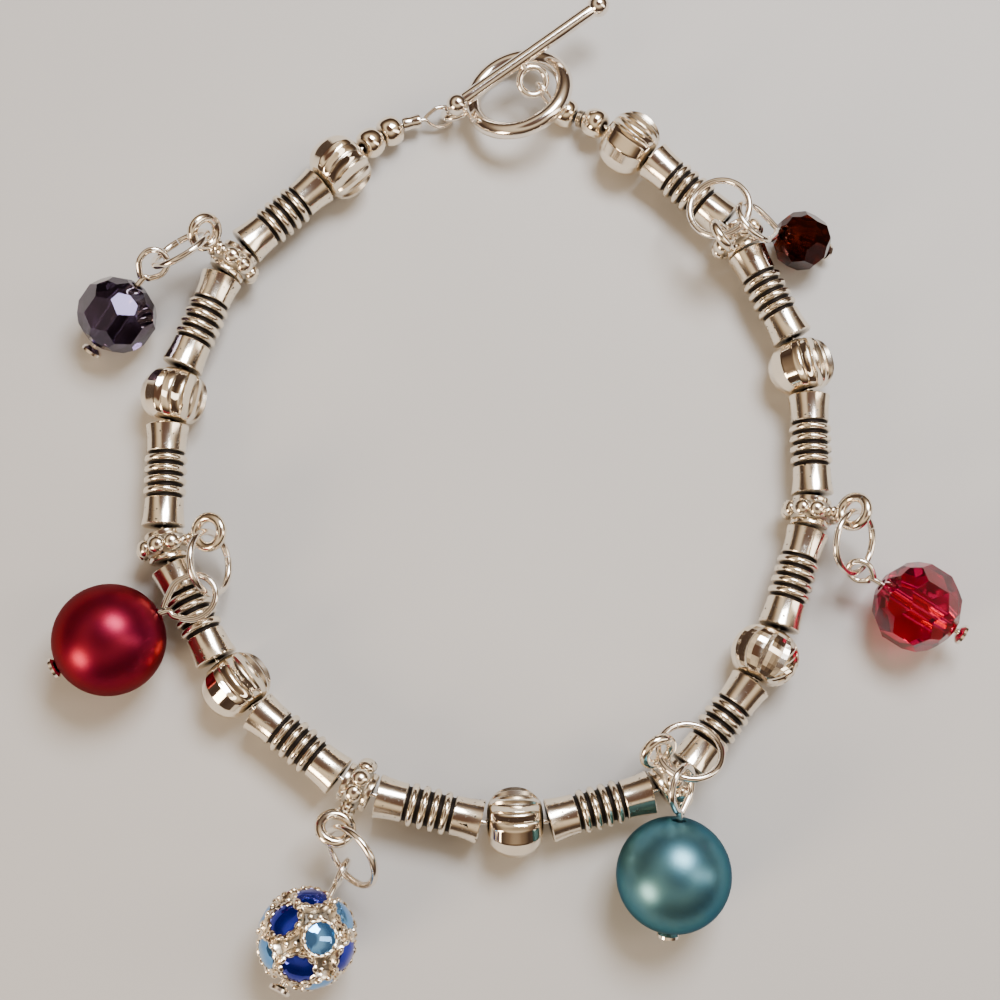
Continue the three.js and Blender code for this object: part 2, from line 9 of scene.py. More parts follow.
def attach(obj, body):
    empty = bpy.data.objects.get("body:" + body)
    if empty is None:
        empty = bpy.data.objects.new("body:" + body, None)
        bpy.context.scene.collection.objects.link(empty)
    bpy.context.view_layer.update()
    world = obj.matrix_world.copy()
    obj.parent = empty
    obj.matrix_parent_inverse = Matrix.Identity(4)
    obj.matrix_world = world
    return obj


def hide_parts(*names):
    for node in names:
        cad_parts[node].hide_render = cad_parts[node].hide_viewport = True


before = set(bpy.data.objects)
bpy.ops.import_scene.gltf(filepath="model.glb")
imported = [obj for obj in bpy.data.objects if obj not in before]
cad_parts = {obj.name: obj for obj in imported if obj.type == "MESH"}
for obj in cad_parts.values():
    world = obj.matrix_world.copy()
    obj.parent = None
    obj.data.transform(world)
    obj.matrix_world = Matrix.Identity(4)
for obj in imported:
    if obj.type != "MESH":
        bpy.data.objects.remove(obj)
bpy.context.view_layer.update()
mm = 0.001
up = Vector((0, 0, 1))

# Sizes that the CAD part has too, to find its loops and rings again
link = {"toggleRing": 11.4, "ringLoop": 3.2, "barLoop": 3.5, "bailLoop": 3.8, "jumpRing": 6.5}
bailReach = 4.86  # from a bail's middle to the middle of its loop
mouthGap = 0.35  # from the throat of a thread loop to the first bead
throatGap = 0.3  # from a charm's bead to the throat of its pin's eye
pairTolerance = 0.006  # how near a pair of corners comes to a ring's diameter
middleTolerance = 0.02  # how near the middles of such pairs lie to each other
eyeStart = 0.25  # an eye's corners lie at least so far past its throat


# Places, read from the CAD nodes

def pointsOf(node):
    return np.array([v.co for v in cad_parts[node].data.vertices], float)


def solidAxes(node):
    # Centre of volume, and the principal axes with their spreads
    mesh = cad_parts[node].data
    mesh.calc_loop_triangles()
    points = pointsOf(node)
    corners = np.array([t.vertices for t in mesh.loop_triangles])
    middle = points.mean(0)
    a, b, c = (points[corners[:, i]] - middle for i in range(3))
    six = np.einsum("ij,ij->i", a, np.cross(b, c))
    whole = a + b + c
    volume = six.sum() / 6
    centre = (six[:, None] * whole).sum(0) / 24 / volume
    spread = sum(np.einsum("i,ij,ik->jk", six, p, p) for p in (a, b, c, whole)) / 120
    sizes, ways = np.linalg.eigh(spread / volume - np.outer(centre, centre))
    return Vector(middle + centre), sizes, ways


def placeOf(origin, along, near):
    # A matrix with X along one way and Z as near as it can be to another
    x = along.normalized()
    y = near.cross(x).normalized()
    z = x.cross(y)
    return Matrix.Translation(origin) @ Matrix((x, y, z)).transposed().to_4x4()


def turnedPlace(node, toward):
    # A round bead's place: its axis is the one whose spread differs from the other two
    centre, sizes, ways = solidAxes(node)
    lone = 2 if sizes[2] - sizes[1] > sizes[1] - sizes[0] else 0
    axis = Vector(ways[:, lone])
    if axis.dot(toward - centre) < 0:
        axis.negate()
    return placeOf(centre, axis, up)


def circleOf(node, diameter):
    # Centre and normal of a ring: many pairs of its corners lie a diameter apart about one middle
    points = np.unique(np.round(pointsOf(node), 7), axis=0)
    gaps = np.linalg.norm(points[:, None] - points[None], axis=2)
    first, second = np.where(np.triu(np.abs(gaps - diameter * mm) < pairTolerance * mm))
    middles = (points[first] + points[second]) / 2
    shared = np.linalg.norm(middles[:, None] - middles[None], axis=2) < middleTolerance * mm
    best = shared[shared.sum(1).argmax()]
    spans = points[first[best]] - points[second[best]]
    return Vector(middles[best].mean(0)), Vector(np.linalg.svd(spans)[2][2])


# A bent wire eye: its outline from its throat, as shares of its length and width
eyeOutline = [(0, 0), (0.16, 0.2), (0.45, 0.46), (0.78, 0.42), (0.97, 0.16), (0.97, -0.16),
              (0.78, -0.42), (0.45, -0.46), (0.22, -0.28), (0.05, -0.08)]


def eyePath(points, throat, along, wire):
    # The eye's path from its throat, in the plane and size of the CAD's eye beyond it
    reach = points - np.array(throat)
    x = np.array(along.normalized())
    reach = reach[reach @ x > eyeStart * mm]
    flat = reach - np.outer(reach @ x, x)
    y = np.linalg.svd(flat - flat.mean(0))[2][0]
    place = placeOf(throat, along, Vector(np.cross(x, y)))
    y = np.array(place.to_3x3() @ Vector((0, 1, 0)))
    length = ((reach @ x).max() / mm - wire / 2) / max(share for share, _ in eyeOutline)
    width = (np.ptp(reach @ y) / mm - wire) / np.ptp([share for _, share in eyeOutline])
    return [place @ Vector((a * length * mm, b * width * mm, 0)) / mm for a, b in eyeOutline]


# Mesh making

def newObject(name, points, faces, material, sharp=35, patina=None):
    mesh = bpy.data.meshes.new(name)
    mesh.from_pydata([Vector(p) * mm for p in points], [], faces)
    mesh.materials.append(material)
    dark = mesh.attributes.new("patina", "FLOAT", "POINT")
    dark.data.foreach_set("value", np.zeros(len(points)) if patina is None else np.array(patina, float))
    finishMesh(mesh, sharp)
    piece = bpy.data.objects.new(name, mesh)
    bpy.context.scene.collection.objects.link(piece)
    return piece


def finishMesh(mesh, sharp):
    # Faces turned outward, and edges that bend more than so many degrees kept sharp
    clean = bmesh.new()
    clean.from_mesh(mesh)
    bmesh.ops.recalc_face_normals(clean, faces=clean.faces)
    clean.to_mesh(mesh)
    clean.free()
    mesh.polygons.foreach_set("use_smooth", [sharp > 0] * len(mesh.polygons))
    if sharp > 0:
        mesh.set_sharp_from_angle(angle=math.radians(sharp))


def gridFaces(rows, columns, solid):
    # Squares between rows, each row a closed ring of columns. A solid has a cap on each end row,
    # and anything else closes from its last row to its first.
    faces = []
    for i in range(rows - 1 if solid else rows):
        for j in range(columns):
            k, m = (i + 1) % rows, (j + 1) % columns
            faces.append((i * columns + j, i * columns + m, k * columns + m, k * columns + j))
    if solid:
        faces.append(tuple(range(columns)))
        faces.append(tuple(range((rows - 1) * columns, rows * columns)))
    return faces


def turned(name, outline, material, steps=64, sharp=35, solid=False):
    # A turned form about X from rows of (along, radius, patina)
    points = []
    for along, radius, _ in outline:
        for j in range(steps):
            angle = 2 * math.pi * j / steps
            points.append((along, radius * math.cos(angle), radius * math.sin(angle)))
    patina = [row[2] for row in outline for _ in range(steps)]
    return newObject(name, points, gridFaces(len(outline), steps, solid), material, sharp, patina)


def smoothPath(points, steps):
    # Points along a Catmull-Rom curve through others
    path = []
    last = len(points) - 1
    for i in range(last):
        a, b, c, d = (points[min(max(i + k, 0), last)] for k in (-1, 0, 1, 2))
        for j in range(steps):
            t = j / steps
            path.append(0.5 * (2 * b + (c - a) * t + (2 * a - 5 * b + 4 * c - d) * t * t
                               + (3 * b - a - 3 * c + d) * t * t * t))
    return path + [points[-1].copy()]


def sweep(name, path, radius, material, sides=16, closed=False, radii=None):
    # A round wire along a path of points
    count = len(path)
    points = []
    side = (path[1] - path[0]).orthogonal().normalized()
    for i, centre in enumerate(path):
        if closed:
            along = (path[(i + 1) % count] - path[i - 1]).normalized()
        else:
            along = (path[min(i + 1, count - 1)] - path[max(i - 1, 0)]).normalized()
        side = (side - along * side.dot(along)).normalized()
        other = along.cross(side)
        for j in range(sides):
            angle = 2 * math.pi * j / sides
            out = side * math.cos(angle) + other * math.sin(angle)
            points.append(centre + out * (radii[i] if radii else radius))
    return newObject(name, points, gridFaces(count, sides, not closed), material, 50)


def ringPath(radius, steps, seam=0):
    # Points round a ring in the XY plane, with an open seam of so many degrees
    span = math.radians(360 - seam)
    last = steps if seam == 0 else steps - 1
    return [Vector((radius * math.cos(span * i / last), radius * math.sin(span * i / last), 0))
            for i in range(steps)]


def lump(name, place, sizes, material, rings=10, segments=14):
    # A rounded grain: a ball stretched along the axes of its place
    ball = bmesh.new()
    bmesh.ops.create_uvsphere(ball, u_segments=segments, v_segments=rings, radius=1)
    ball.transform(place @ Matrix.Diagonal((*sizes, 1)))
    points = [v.co.copy() for v in ball.verts]
    faces = [[v.index for v in f.verts] for f in ball.faces]
    ball.free()
    return newObject(name, points, faces, material)


def bakedMesh(piece):
    # The piece's mesh with its modifiers in it
    bpy.context.view_layer.update()
    shaped = piece.evaluated_get(bpy.context.evaluated_depsgraph_get())
    mesh = bpy.data.meshes.new_from_object(shaped)
    piece.modifiers.clear()
    return mesh


def fused(name, parts, sharp=35, darkAt=None):
    # One body from several that overlap, each part keeping its own material. The join loses the
    # patina, so it comes from each point's place: darkAt(x, distance from the X axis, from the middle)
    whole = parts[0]
    others = bpy.data.collections.new(name + "_parts")
    bpy.context.scene.collection.children.link(others)
    for other in parts[1:]:
        others.objects.link(other)
    join = whole.modifiers.new("join", "BOOLEAN")
    join.operation = "UNION"
    join.solver = "EXACT"
    join.operand_type = "COLLECTION"
    join.collection = others
    join.use_self = True
    join.material_mode = "TRANSFER"
    whole.data = bakedMesh(whole)
    for other in parts[1:]:
        bpy.data.objects.remove(other)
    bpy.data.collections.remove(others)
    finishMesh(whole.data, sharp)
    points = np.array([v.co for v in whole.data.vertices], float) / mm
    dark = np.zeros(len(points))
    if darkAt:
        fromAxis, fromMiddle = (np.linalg.norm(points[:, i:], axis=1) for i in (1, 0))
        dark = darkAt(points[:, 0], fromAxis, fromMiddle)
    whole.data.attributes["patina"].data.foreach_set("value", np.clip(dark, 0, 1))
    whole.name = name
    return whole


def faceted(name, planes, material, holeRadius=0):
    # A cut stone: a block trimmed by planes of (way outward, distance), then drilled along X
    stone = bmesh.new()
    size = 3 * max(distance for _, distance in planes)
    bmesh.ops.create_cube(stone, size=size)
    for way, distance in planes:
        whole = stone.verts[:] + stone.edges[:] + stone.faces[:]
        cut = bmesh.ops.bisect_plane(stone, geom=whole, plane_co=way * distance, plane_no=way,
                                     clear_outer=True, dist=1e-6)
        rim = [g for g in cut["geom_cut"] if isinstance(g, bmesh.types.BMEdge)]
        if rim:
            bmesh.ops.edgeloop_fill(stone, edges=rim)
    stone.verts.index_update()
    points = [v.co.copy() for v in stone.verts]
    faces = [[v.index for v in f.verts] for f in stone.faces]
    stone.free()
    piece = newObject(name, points, faces, material, 0)
    if holeRadius:
        axis = [Vector((-size, 0, 0)), Vector((size, 0, 0))]
        drill = sweep("drill", axis, holeRadius, material, 24)
        bore = piece.modifiers.new("bore", "BOOLEAN")
        bore.operation = "DIFFERENCE"
        bore.solver = "EXACT"
        bore.object = drill
        piece.data = bakedMesh(piece)
        bpy.data.objects.remove(drill)
        finishMesh(piece.data, 0)
    return piece


def moved(piece, place):
    # Moves the points themselves, by a place whose origin is in millimetres
    metric = place.copy()
    metric.translation *= mm
    piece.data.transform(metric)
    return piece


def keep(piece, node, place=None):
    # Hands a finished piece over: it rides on the part and stands for its CAD node
    if place is not None:
        piece.data = piece.data.copy()
        piece.data.transform(place)
    piece.name = node + "_look"
    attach(piece, "root")
    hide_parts(node)
    return piece


def copyOf(piece):
    twin = bpy.data.objects.new(piece.name + "_copy", piece.data)
    bpy.context.scene.collection.objects.link(twin)
    return twin


def turnedBy(angle):
    return Matrix.Rotation(math.radians(angle), 4, "X")


# Materials

def addNode(tree, kind, inputs=None, **settings):
    made = tree.nodes.new(kind)
    for key, value in settings.items():
        setattr(made, key, value)
    for key, value in (inputs or {}).items():
        if isinstance(value, bpy.types.NodeSocket):
            tree.links.new(value, made.inputs[key])
        else:
            made.inputs[key].default_value = value
    return made


def newMaterial(name):
    material = bpy.data.materials.new(name)
    material.use_nodes = True
    tree = material.node_tree
    return material, tree, tree.nodes["Principled BSDF"]


def ranged(tree, value, low, high, fromValue=0.0, toValue=1.0):
    made = addNode(tree, "ShaderNodeMapRange", {
        "Value": value, "From Min": low, "From Max": high, "To Min": fromValue, "To Max": toValue,
    })
    return made.outputs["Result"]


def blended(tree, share, first, second):
    mixed = addNode(tree, "ShaderNodeMix", {0: share, 6: first, 7: second}, data_type="RGBA")
    return mixed.outputs[2]


# What all the metals share: scales per metre, and the dents' depth in metres
metalNoise = {"cloud": {"Scale": 420.0, "Detail": 3.0}, "grain": {"Scale": 2600.0, "Detail": 4.0},
              "speckEdge": 0.05, "patches": (0.5, 0.75), "darkRoughness": 0.6, "dentDepth": 0.0001}


def silverMaterial(name, look):
    # Plated metal: bright where it is rubbed, blackened in its grooves, with fine specks and dents
    material, tree, shader = newMaterial(name)
    here = addNode(tree, "ShaderNodeTexCoord").outputs["Object"]
    cloud = addNode(tree, "ShaderNodeTexNoise", {"Vector": here, **metalNoise["cloud"]})
    grain = addNode(tree, "ShaderNodeTexNoise", {"Vector": here, **metalNoise["grain"]})
    groove = addNode(tree, "ShaderNodeAttribute", attribute_name="patina").outputs["Fac"]
    start = look["specksFrom"]
    specks = ranged(tree, grain.outputs["Fac"], start, start + metalNoise["speckEdge"])
    patches = ranged(tree, cloud.outputs["Fac"], *metalNoise["patches"], 0.0, look["tarnish"])
    soiled = addNode(tree, "ShaderNodeMath", {0: specks, 1: patches}, operation="ADD")
    black = addNode(tree, "ShaderNodeMath", {0: soiled.outputs[0], 1: groove}, operation="ADD",
                    use_clamp=True).outputs[0]
    tree.links.new(blended(tree, black, look["bright"], look["dark"]), shader.inputs["Base Color"])
    rough = ranged(tree, black, 0.0, 1.0, look["gloss"], metalNoise["darkRoughness"])
    tree.links.new(rough, shader.inputs["Roughness"])
    bump = addNode(tree, "ShaderNodeBump", {
        "Height": cloud.outputs["Fac"], "Strength": look["dents"], "Distance": metalNoise["dentDepth"],
    })
    tree.links.new(bump.outputs["Normal"], shader.inputs["Normal"])
    shader.inputs["Metallic"].default_value = 1.0
    return material


# The same for glass, stones and pearls
clearNoise = {"cloud": {"Scale": 260.0, "Detail": 3.0}, "grain": {"Scale": 3000.0, "Detail": 2.0},
              "edges": (0.35, 0.65), "grainDepth": 0.00003}


def cloudedMaterial(name, look):
    # Glass, foiled stones and pearls: two shades in soft clouds, with the gloss and depth of each
    material, tree, shader = newMaterial(name)
    here = addNode(tree, "ShaderNodeTexCoord").outputs["Object"]
    cloud = addNode(tree, "ShaderNodeTexNoise", {"Vector": here, **clearNoise["cloud"]})
    share = ranged(tree, cloud.outputs["Fac"], *clearNoise["edges"])
    tree.links.new(blended(tree, share, look["colour"], look["second"]), shader.inputs["Base Color"])
    if "grain" in look:
        grain = addNode(tree, "ShaderNodeTexNoise", {"Vector": here, **clearNoise["grain"]})
        bump = addNode(tree, "ShaderNodeBump", {
            "Height": grain.outputs["Fac"], "Strength": look["grain"],
            "Distance": clearNoise["grainDepth"],
        })
        tree.links.new(bump.outputs["Normal"], shader.inputs["Normal"])
    for socket, value in look["surface"].items():
        shader.inputs[socket].default_value = value
    return material


antiqueSilver = silverMaterial("antique_silver", {
    "bright": (0.96, 0.85, 0.69, 1), "dark": (0.018, 0.014, 0.012, 1), "gloss": 0.15,
    "specksFrom": 0.64, "tarnish": 0.14, "dents": 0.16})
brightSilver = silverMaterial("bright_silver", {
    "bright": (0.92, 0.84, 0.74, 1), "dark": (0.05, 0.04, 0.035, 1), "gloss": 0.12,
    "specksFrom": 0.74, "tarnish": 0.08, "dents": 0.05})
polishedSilver = silverMaterial("polished_silver", {
    "bright": (0.96, 0.85, 0.69, 1), "dark": (0.08, 0.05, 0.035, 1), "gloss": 0.06,
    "specksFrom": 0.75, "tarnish": 0.04, "dents": 0.04})

# In these glasses the Specular Tint is a painted reflection colour: it tints their reflections in their
# own hue, darkest in the dark red glass, in place of the pale room they mirror.
redGlass = cloudedMaterial("red_glass", {
    "colour": (0.58, 0.0, 0.085, 1), "second": (0.72, 0.004, 0.06, 1),
    "surface": {"Roughness": 0.01, "IOR": 1.7, "Transmission Weight": 0.97,
                "Specular Tint": (1.0, 0.72, 0.78, 1)}})
# The second, orange-red shade of the dark red glass is painted glints, scattered through its soft
# clouds.
darkRedGlass = cloudedMaterial("dark_red_glass", {
    "colour": (0.006, 0.0003, 0.0003, 1), "second": (0.09, 0.008, 0.0008, 1),
    "surface": {"Roughness": 0.02, "IOR": 1.6, "Transmission Weight": 0.95, "Specular IOR Level": 0.25,
                "Specular Tint": (0.30, 0.04, 0.03, 1)}})
purpleGlass = cloudedMaterial("purple_glass", {
    "colour": (0.035, 0.022, 0.05, 1), "second": (0.07, 0.048, 0.09, 1),
    "surface": {"Roughness": 0.01, "IOR": 1.7, "Transmission Weight": 0.97, "Specular IOR Level": 0.35,
                "Specular Tint": (0.55, 0.45, 0.75, 1)}})
# The pearls' dark Specular Tint is painted shade: it darkens their edges in place of the dark
# surroundings they would mirror there.
redPearl = cloudedMaterial("red_pearl", {
    "colour": (0.16, 0.006, 0.027, 1), "second": (0.21, 0.009, 0.022, 1), "grain": 0.08,
    "surface": {"Metallic": 0.9, "Roughness": 0.36, "Specular Tint": (0.35, 0.05, 0.08, 1),
                "Coat Weight": 0.05, "Coat Roughness": 0.3}})
tealPearl = cloudedMaterial("teal_pearl", {
    "colour": (0.07, 0.185, 0.25, 1), "second": (0.095, 0.22, 0.25, 1), "grain": 0.08,
    "surface": {"Metallic": 0.9, "Roughness": 0.36, "Specular Tint": (0.12, 0.22, 0.28, 1),
                "Coat Weight": 0.05, "Coat Roughness": 0.3}})
darkBlueStone = cloudedMaterial("dark_blue_stone", {
    "colour": (0.002, 0.008, 0.20, 1), "second": (0.008, 0.02, 0.42, 1),
    "surface": {"Metallic": 0.8, "Roughness": 0.06, "Coat Weight": 0.35, "Coat Roughness": 0.02}})
lightBlueStone = cloudedMaterial("light_blue_stone", {
    "colour": (0.06, 0.25, 0.66, 1), "second": (0.16, 0.42, 0.80, 1),
    "surface": {"Metallic": 0.85, "Roughness": 0.06, "Coat Weight": 0.35, "Coat Roughness": 0.02}})
print("materials done")

# The strand, clockwise from the clasp's bar to its ring
strandOrder = ["small_bead_1", "crimp_collar", "small_bead_2", "cut_bead_1"]
for k in range(1, 7):
    strandOrder += [f"tube_bead_{2 * k - 1}", f"bail_{k}", f"tube_bead_{2 * k}", f"cut_bead_{k + 1}"]
strandOrder += ["small_bead_3", "small_bead_4", "crimp_tube"]
middles = {name: solidAxes(name)[0] for name in strandOrder}


def strandPlace(name):
    # A round bead's place, or a bail's, whose loop stands along Z
    i = strandOrder.index(name)
    before, after = strandOrder[max(i - 1, 0)], strandOrder[min(i + 1, len(strandOrder) - 1)]
    onward = middles[after] - middles[before]
    if not name.startswith("bail"):
        return turnedPlace(name, middles[name] + onward)
    loopCentre, normal = circleOf(name, link["bailLoop"])
    z = (loopCentre - middles[name]).normalized()
    x = normal.cross(z)
    if x.dot(onward) < 0:
        x.negate()
    return placeOf(loopCentre - z * bailReach * mm, x, z)


places = {name: strandPlace(name) for name in strandOrder}

# Ribbed tube beads: smooth flared ends, and raised rings with blackened grooves between them
tubeBead = {"length": 9.8, "endRadius": 2.05, "waist": 1.82, "flare": 2.2, "rib": 2.03, "groove": 1.56,
            "ribs": 4, "ribWidth": 0.68, "grooveWidth": 0.36, "edge": 0.08, "hole": 0.55,
            "countersink": 0.3, "rim": 0.35, "foot": 0.06, "bottomEdge": 0.04, "bottomRise": 0.03,
            "flatness": 0.8, "rubbed": 1.5, "roll": 73}


def tubeOutline():
    # From the hole at one end over the ribs to the hole at the other
    half = tubeBead["length"] / 2
    wide = tubeBead["endRadius"]
    waist = tubeBead["waist"]
    floor = tubeBead["groove"]
    pitch = tubeBead["ribWidth"] + tubeBead["grooveWidth"]
    ribbed = (tubeBead["ribs"] * pitch + tubeBead["grooveWidth"]) / 2
    sink, foot = tubeBead["countersink"], tubeBead["foot"]
    bottomEdge, bottom = tubeBead["bottomEdge"], floor + tubeBead["bottomRise"]
    end = [(half - sink, tubeBead["hole"], 1), (half, tubeBead["hole"] + sink, 1),
           (half, wide - tubeBead["rim"], 0.4), (half, wide - tubeBead["edge"], 0.1),
           (half - tubeBead["edge"], wide, 0)]
    for i in range(1, 10):
        t = i / 9
        along = (half - tubeBead["edge"]) * (1 - t) + (ribbed + tubeBead["edge"]) * t
        end.append((along, waist + (wide - waist) * (1 - t) ** tubeBead["flare"], 0))
    end.append((ribbed, waist - foot, 0.5))
    ribs = []
    for k in range(tubeBead["ribs"] + 1):
        start = -ribbed + k * pitch
        stop = start + tubeBead["grooveWidth"]
        ribs += [(start + bottomEdge, bottom, 1), (start + tubeBead["grooveWidth"] / 2, floor, 1),
                 (stop - bottomEdge, bottom, 1)]
        if k < tubeBead["ribs"]:
            for i in range(9):
                angle = math.pi * i / 8
                rise = math.sin(angle) ** tubeBead["flatness"]
                along = stop + tubeBead["ribWidth"] * (1 - math.cos(angle)) / 2
                radius = floor + foot + (tubeBead["rib"] - floor - foot) * rise
                ribs.append((along, radius, max(0.0, 0.95 - rise * tubeBead["rubbed"])))
    other = [(-along, radius, dark) for along, radius, dark in end]
    return other + ribs + end[::-1]


tubeMaster = turned("tube_master", tubeOutline(), antiqueSilver, 56)
for k in range(1, 13):
    node = f"tube_bead_{k}"
    keep(copyOf(tubeMaster), node, places[node] @ turnedBy(k * tubeBead["roll"]))
bpy.data.objects.remove(tubeMaster)
print("tube beads done")

# Cut beads: lunes from hole to hole, hollowed into bent petals on one side and flat on the other
cutBead = {"length": 5.15, "radius": 3.2, "endRadius": 1.0, "hole": 0.55, "lunes": 14, "petals": 7,
           "roundness": 2.1, "seam": 0.98, "flute": 0.247, "fluteStart": 0.35, "fluteEnd": 1.1,
           "dark": 0.35, "darkShare": 0.3, "bend": 1.0, "sparkle": 0.045, "sparkling": 3,
           "steps": {False: (8, 28), True: (4, 16)}, "turnedRound": (4, 5, 6, 7),
           "rolls": (-70, -65, 60, -75, -70, -65, -70)}


def cutBeadPiece(sparkling=False):
    # The sparkling one is cut all over its flat side in small facets
    half = cutBead["length"] / 2
    lunes = cutBead["lunes"]
    steps, count = cutBead["steps"][sparkling]
    rise = cutBead["radius"] - cutBead["endRadius"]
    columns = [(k, i / steps) for k in range(lunes) for i in range(steps + 1)]
    rows = []
    for i in range(count + 1):
        along = half * math.sin((i / count - 0.5) * math.pi)
        swell = math.sqrt(max(0.0, 1 - abs(along / half) ** cutBead["roundness"]))
        rows.append((along, cutBead["endRadius"] + rise * swell, swell))
    rows += [(half, cutBead["hole"], 0), (-half, cutBead["hole"], 0)]
    points, patina = [], []
    for row, (along, radius, swell) in enumerate(rows):
        for column, (k, t) in enumerate(columns):
            angle = 2 * math.pi * (k + t * cutBead["seam"]) / lunes
            petal = k < cutBead["petals"]
            if petal:
                bend = cutBead["bend"] * swell * math.sin(math.pi * (k + t) / cutBead["petals"])
                angle += 2 * math.pi * bend / lunes
                hollow = t ** cutBead["fluteStart"] * (1 - t) ** cutBead["fluteEnd"]
                r = radius * (1 - cutBead["flute"] * hollow * swell)
            elif sparkling:
                r = radius * (1 - cutBead["sparkle"] * ((row + column) % 2) * swell)
            else:
                r = radius * math.cos(math.pi / lunes) / math.cos(math.pi * (2 * t - 1) / lunes)
            points.append((along, r * math.cos(angle), r * math.sin(angle)))
            patina.append(cutBead["dark"] * swell if petal and t < cutBead["darkShare"] else 0.0)
    return newObject("cut_master", points, gridFaces(len(rows), len(columns), False), polishedSilver,
                     0 if sparkling else 24, patina)


cutMaster = cutBeadPiece()
for k, roll in enumerate(cutBead["rolls"], 1):
    piece = cutBeadPiece(True) if k == cutBead["sparkling"] else copyOf(cutMaster)
    way = Matrix.Rotation(math.pi if k in cutBead["turnedRound"] else 0, 4, "Z")
    keep(piece, f"cut_bead_{k}", places[f"cut_bead_{k}"] @ way @ turnedBy(roll))
bpy.data.objects.remove(cutMaster)
print("cut beads done")

# Small beads by the clasp, the ridged collar between two of them, and the crimp
smallBead = {"length": 2.3, "radius": 1.5, "endRadius": 0.72, "hole": 0.5, "roundness": 2.3}
collar = {"length": 0.6, "radius": 0.9, "depth": 0.13, "hole": 0.5, "ridges": 3}
crimp = {"length": 1.8, "radius": 0.72, "pinch": 0.07, "pinchShare": 0.35, "edge": 0.05, "hole": 0.5}

half = smallBead["length"] / 2
smallOutline = [(-half, smallBead["hole"], 1)]
for i in range(19):
    u = i / 9 - 1
    swell = (1 - abs(u) ** smallBead["roundness"]) ** 0.5
    radius = smallBead["endRadius"] + (smallBead["radius"] - smallBead["endRadius"]) * swell
    smallOutline.append((half * u, radius, 0.5 if swell < 0.3 else 0))
smallOutline.append((half, smallBead["hole"], 1))
smallMaster = turned("small_master", smallOutline, polishedSilver, 40)
for k in range(1, 5):
    node = f"small_bead_{k}"
    keep(copyOf(smallMaster), node, places[node])
bpy.data.objects.remove(smallMaster)

half = collar["length"] / 2
collarOutline = [(-half, collar["hole"], 1)]
for i in range(collar["ridges"] * 8 + 1):
    wave = 0.5 - 0.5 * math.cos(2 * math.pi * i / 8)
    along = half * (i / (collar["ridges"] * 4) - 1)
    collarOutline.append((along, collar["radius"] - collar["depth"] * (1 - wave), 0.9 * (1 - wave)))
collarOutline.append((half, collar["hole"], 1))
keep(turned("collar", collarOutline, antiqueSilver, 32), "crimp_collar",
     places["crimp_collar"])

half = crimp["length"] / 2
crimpOutline = [(-half, crimp["hole"], 1)]
for i in range(13):
    u = i / 6 - 1
    dent = crimp["pinch"] * math.exp(-((u / crimp["pinchShare"]) ** 2))
    dent += crimp["edge"] if abs(u) == 1 else 0
    crimpOutline.append((half * u, crimp["radius"] - dent, 0))
crimpOutline.append((half, crimp["hole"], 1))
keep(turned("crimp", crimpOutline, brightSilver, 32), "crimp_tube",
     places["crimp_tube"])
print("small beads done")

# Charm bails: a bead with a crown of grains round it, and a loop on a ridged neck
bail = {"length": 2.8, "endRadius": 1.85, "bandRadius": 2.12, "hole": 0.55, "grains": 8,
        "grain": (0.84, 0.86, 0.58), "orbit": 2.32, "loopWire": 1.0, "neckRadius": 0.55,
        "edge": 0.08, "bandShare": 0.62, "neckSunk": 0.3, "neckRidges": (1.2, 0.28),
        "darkest": 0.5, "darkFade": 0.4}


def bailPiece():
    half = bail["length"] / 2
    rim = bail["endRadius"]
    edge = bail["edge"]
    side = [(half, bail["hole"], 1), (half, rim - edge, 0.2), (half - edge, rim, 0),
            (half * 0.66, rim, 0), (half * 0.58, rim - 0.07, 1), (half * 0.5, rim - 0.02, 1),
            (half * 0.34, bail["bandRadius"] - 0.05, 0.9), (0, bail["bandRadius"], 0.9)]
    outline = [(-along, radius, dark) for along, radius, dark in side[:-1]] + side[::-1]
    parts = [turned("bail_master", outline, antiqueSilver, 40)]
    for i in range(bail["grains"]):
        turn = 360 * (i + 1) / (bail["grains"] + 1)
        place = turnedBy(turn) @ Matrix.Translation((0, 0, bail["orbit"]))
        parts.append(lump("grain", place, bail["grain"], antiqueSilver))
    loopRadius = (link["bailLoop"] - bail["loopWire"]) / 2
    heights = np.linspace(bail["bandRadius"] - bail["neckSunk"], bailReach - loopRadius, 13)
    widest, ridge = bail["neckRidges"]
    widths = [bail["neckRadius"] * (widest - ridge * abs(math.sin(math.pi * i / 4))) for i in range(13)]
    neck = [Vector((0, 0, height)) for height in heights]
    parts.append(sweep("neck", neck, 0, antiqueSilver, 16, radii=widths))
    loop = [turnedBy(90) @ point + Vector((0, 0, bailReach)) for point in ringPath(loopRadius, 40)]
    parts.append(sweep("loop", loop, bail["loopWire"] / 2, antiqueSilver, 16, closed=True))

    def betweenGrains(along, radius, _):
        crown = np.minimum(bail["darkest"], (bail["orbit"] + 0.04 - radius) / bail["darkFade"])
        inBand = np.abs(along) < half * bail["bandShare"]
        return np.maximum(crown * inBand, (bail["hole"] + 0.3 - radius) / 0.2)

    return fused("bail_master", parts, darkAt=betweenGrains)


bailMaster = bailPiece()
for k in range(1, 7):
    keep(copyOf(bailMaster), f"bail_{k}", places[f"bail_{k}"])
bpy.data.objects.remove(bailMaster)
print("bails done")

